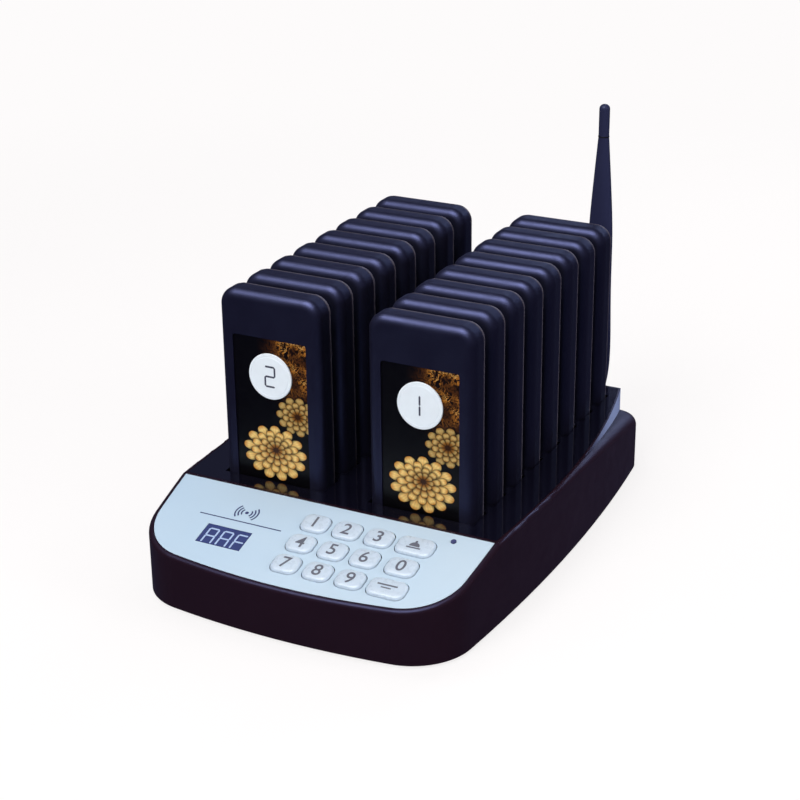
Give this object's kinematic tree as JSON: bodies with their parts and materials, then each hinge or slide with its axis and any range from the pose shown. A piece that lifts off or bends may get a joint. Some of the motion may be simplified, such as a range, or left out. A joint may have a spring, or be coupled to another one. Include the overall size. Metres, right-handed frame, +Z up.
{
  "type": "guest pager system",
  "caption": "Countertop guest paging base with sloped keypad, small display and paddle antenna, holding removable slab pagers upright in a charging deck.",
  "frame": {"origin": "on the table, under the middle of the footprint of base and antenna", "axes": "+X to the right as seen by the operator at the keypad, +Y to the back, from the keypad towards the antenna, +Z up"},
  "size_m": [0.174, 0.2728, 0.1895],
  "materials": {
    "floor_plastic": "matt black",
    "foot_rubber": "matt",
    "housing_plastic": "satin black",
    "deck_plastic": "polished black",
    "contact_metal": "plated",
    "circuit_board": "green solder mask",
    "panel_label": "satin pale silver blue",
    "display_lens": "tinted slate blue",
    "module_plastic": "matt",
    "light_plastic": "clear",
    "screw_steel": "plain",
    "inlet_plastic": "matt",
    "socket_metal": "plated",
    "antenna_plastic": "satin",
    "key_plastic": "satin off-white",
    "pager_gloss": "polished black",
    "pager_satin": "satin black"
  },
  "bodies": {
    "base": {"lower_housing": "floor_plastic", "rubber_feet": "foot_rubber", "upper_housing": "housing_plastic", "charging_deck": "deck_plastic", "charging_contacts": "contact_metal", "main_board": "circuit_board", "keypad_overlay": "panel_label", "display_window": "display_lens", "display_module": "module_plastic", "status_light": "light_plastic", "keypad_board": "circuit_board", "case_screws": "screw_steel", "power_inlet": "inlet_plastic", "antenna_socket": "socket_metal"},
    "key_1": {"key_1": "key_plastic"},
    "key_2": {"key_2": "key_plastic"},
    "key_3": {"key_3": "key_plastic"},
    "key_call": {"key_call": "key_plastic"},
    "key_4": {"key_4": "key_plastic"},
    "key_5": {"key_5": "key_plastic"},
    "key_6": {"key_6": "key_plastic"},
    "key_0": {"key_0": "key_plastic"},
    "key_7": {"key_7": "key_plastic"},
    "key_8": {"key_8": "key_plastic"},
    "key_9": {"key_9": "key_plastic"},
    "key_function": {"key_function": "key_plastic"},
    "pager_01": {"pager_01_front_cover": "pager_gloss", "pager_01_rear_shell": "pager_satin"},
    "pager_02": {"pager_02_front_cover": "pager_gloss", "pager_02_rear_shell": "pager_satin"},
    "pager_03": {"pager_03_front_cover": "pager_gloss", "pager_03_rear_shell": "pager_satin"},
    "pager_04": {"pager_04_front_cover": "pager_gloss", "pager_04_rear_shell": "pager_satin"},
    "pager_05": {"pager_05_front_cover": "pager_gloss", "pager_05_rear_shell": "pager_satin"},
    "pager_06": {"pager_06_front_cover": "pager_gloss", "pager_06_rear_shell": "pager_satin"},
    "pager_07": {"pager_07_front_cover": "pager_gloss", "pager_07_rear_shell": "pager_satin"},
    "pager_08": {"pager_08_front_cover": "pager_gloss", "pager_08_rear_shell": "pager_satin"},
    "pager_09": {"pager_09_front_cover": "pager_gloss", "pager_09_rear_shell": "pager_satin"},
    "pager_10": {"pager_10_front_cover": "pager_gloss", "pager_10_rear_shell": "pager_satin"},
    "pager_11": {"pager_11_front_cover": "pager_gloss", "pager_11_rear_shell": "pager_satin"},
    "pager_12": {"pager_12_front_cover": "pager_gloss", "pager_12_rear_shell": "pager_satin"},
    "pager_13": {"pager_13_front_cover": "pager_gloss", "pager_13_rear_shell": "pager_satin"},
    "pager_14": {"pager_14_front_cover": "pager_gloss", "pager_14_rear_shell": "pager_satin"},
    "pager_15": {"pager_15_front_cover": "pager_gloss", "pager_15_rear_shell": "pager_satin"},
    "pager_16": {"pager_16_front_cover": "pager_gloss", "pager_16_rear_shell": "pager_satin"},
    "antenna_knuckle": {"antenna_knuckle": "antenna_plastic"},
    "antenna_whip": {"antenna_whip": "antenna_plastic"}
  },
  "joints": [
    {"name": "key_1_press", "type": "slide", "parent": "base", "child": "key_1", "axis": [0, 0.2639, -0.9646], "range_m": [0, 0.0006], "stiffness_N_per_m": 600},
    {"name": "key_2_press", "type": "slide", "parent": "base", "child": "key_2", "axis": [0, 0.2639, -0.9646], "range_m": [0, 0.0006], "stiffness_N_per_m": 600},
    {"name": "key_3_press", "type": "slide", "parent": "base", "child": "key_3", "axis": [0, 0.2639, -0.9646], "range_m": [0, 0.0006], "stiffness_N_per_m": 600},
    {"name": "key_call_press", "type": "slide", "parent": "base", "child": "key_call", "axis": [0, 0.2639, -0.9646], "range_m": [0, 0.0006], "stiffness_N_per_m": 600},
    {"name": "key_4_press", "type": "slide", "parent": "base", "child": "key_4", "axis": [0, 0.2639, -0.9646], "range_m": [0, 0.0006], "stiffness_N_per_m": 600},
    {"name": "key_5_press", "type": "slide", "parent": "base", "child": "key_5", "axis": [0, 0.2639, -0.9646], "range_m": [0, 0.0006], "stiffness_N_per_m": 600},
    {"name": "key_6_press", "type": "slide", "parent": "base", "child": "key_6", "axis": [0, 0.2639, -0.9646], "range_m": [0, 0.0006], "stiffness_N_per_m": 600},
    {"name": "key_0_press", "type": "slide", "parent": "base", "child": "key_0", "axis": [0, 0.2639, -0.9646], "range_m": [0, 0.0006], "stiffness_N_per_m": 600},
    {"name": "key_7_press", "type": "slide", "parent": "base", "child": "key_7", "axis": [0, 0.2639, -0.9646], "range_m": [0, 0.0006], "stiffness_N_per_m": 600},
    {"name": "key_8_press", "type": "slide", "parent": "base", "child": "key_8", "axis": [0, 0.2639, -0.9646], "range_m": [0, 0.0006], "stiffness_N_per_m": 600},
    {"name": "key_9_press", "type": "slide", "parent": "base", "child": "key_9", "axis": [0, 0.2639, -0.9646], "range_m": [0, 0.0006], "stiffness_N_per_m": 600},
    {"name": "key_function_press", "type": "slide", "parent": "base", "child": "key_function", "axis": [0, 0.2639, -0.9646], "range_m": [0, 0.0006], "stiffness_N_per_m": 600},
    {"name": "pager_01_lift", "type": "slide", "parent": "base", "child": "pager_01", "axis": [0, 0, 1], "range_m": [0, 0.12]},
    {"name": "pager_02_lift", "type": "slide", "parent": "base", "child": "pager_02", "axis": [0, 0, 1], "range_m": [0, 0.12]},
    {"name": "pager_03_lift", "type": "slide", "parent": "base", "child": "pager_03", "axis": [0, 0, 1], "range_m": [0, 0.12]},
    {"name": "pager_04_lift", "type": "slide", "parent": "base", "child": "pager_04", "axis": [0, 0, 1], "range_m": [0, 0.12]},
    {"name": "pager_05_lift", "type": "slide", "parent": "base", "child": "pager_05", "axis": [0, 0, 1], "range_m": [0, 0.12]},
    {"name": "pager_06_lift", "type": "slide", "parent": "base", "child": "pager_06", "axis": [0, 0, 1], "range_m": [0, 0.12]},
    {"name": "pager_07_lift", "type": "slide", "parent": "base", "child": "pager_07", "axis": [0, 0, 1], "range_m": [0, 0.12]},
    {"name": "pager_08_lift", "type": "slide", "parent": "base", "child": "pager_08", "axis": [0, 0, 1], "range_m": [0, 0.12]},
    {"name": "pager_09_lift", "type": "slide", "parent": "base", "child": "pager_09", "axis": [0, 0, 1], "range_m": [0, 0.12]},
    {"name": "pager_10_lift", "type": "slide", "parent": "base", "child": "pager_10", "axis": [0, 0, 1], "range_m": [0, 0.12]},
    {"name": "pager_11_lift", "type": "slide", "parent": "base", "child": "pager_11", "axis": [0, 0, 1], "range_m": [0, 0.12]},
    {"name": "pager_12_lift", "type": "slide", "parent": "base", "child": "pager_12", "axis": [0, 0, 1], "range_m": [0, 0.12]},
    {"name": "pager_13_lift", "type": "slide", "parent": "base", "child": "pager_13", "axis": [0, 0, 1], "range_m": [0, 0.12]},
    {"name": "pager_14_lift", "type": "slide", "parent": "base", "child": "pager_14", "axis": [0, 0, 1], "range_m": [0, 0.12]},
    {"name": "pager_15_lift", "type": "slide", "parent": "base", "child": "pager_15", "axis": [0, 0, 1], "range_m": [0, 0.12]},
    {"name": "pager_16_lift", "type": "slide", "parent": "base", "child": "pager_16", "axis": [0, 0, 1], "range_m": [0, 0.12]},
    {"name": "antenna_swivel", "type": "hinge", "parent": "base", "child": "antenna_knuckle", "pos_m": [0.0463, 0.1316, 0.0145], "axis": [0, 1, 0], "range_deg": [-90, 90]},
    {"name": "antenna_tilt", "type": "hinge", "parent": "antenna_knuckle", "child": "antenna_whip", "pos_m": [0.0463, 0.1316, 0.0145], "axis": [-1, 0, 0], "range_deg": [0, 90]}
  ]
}
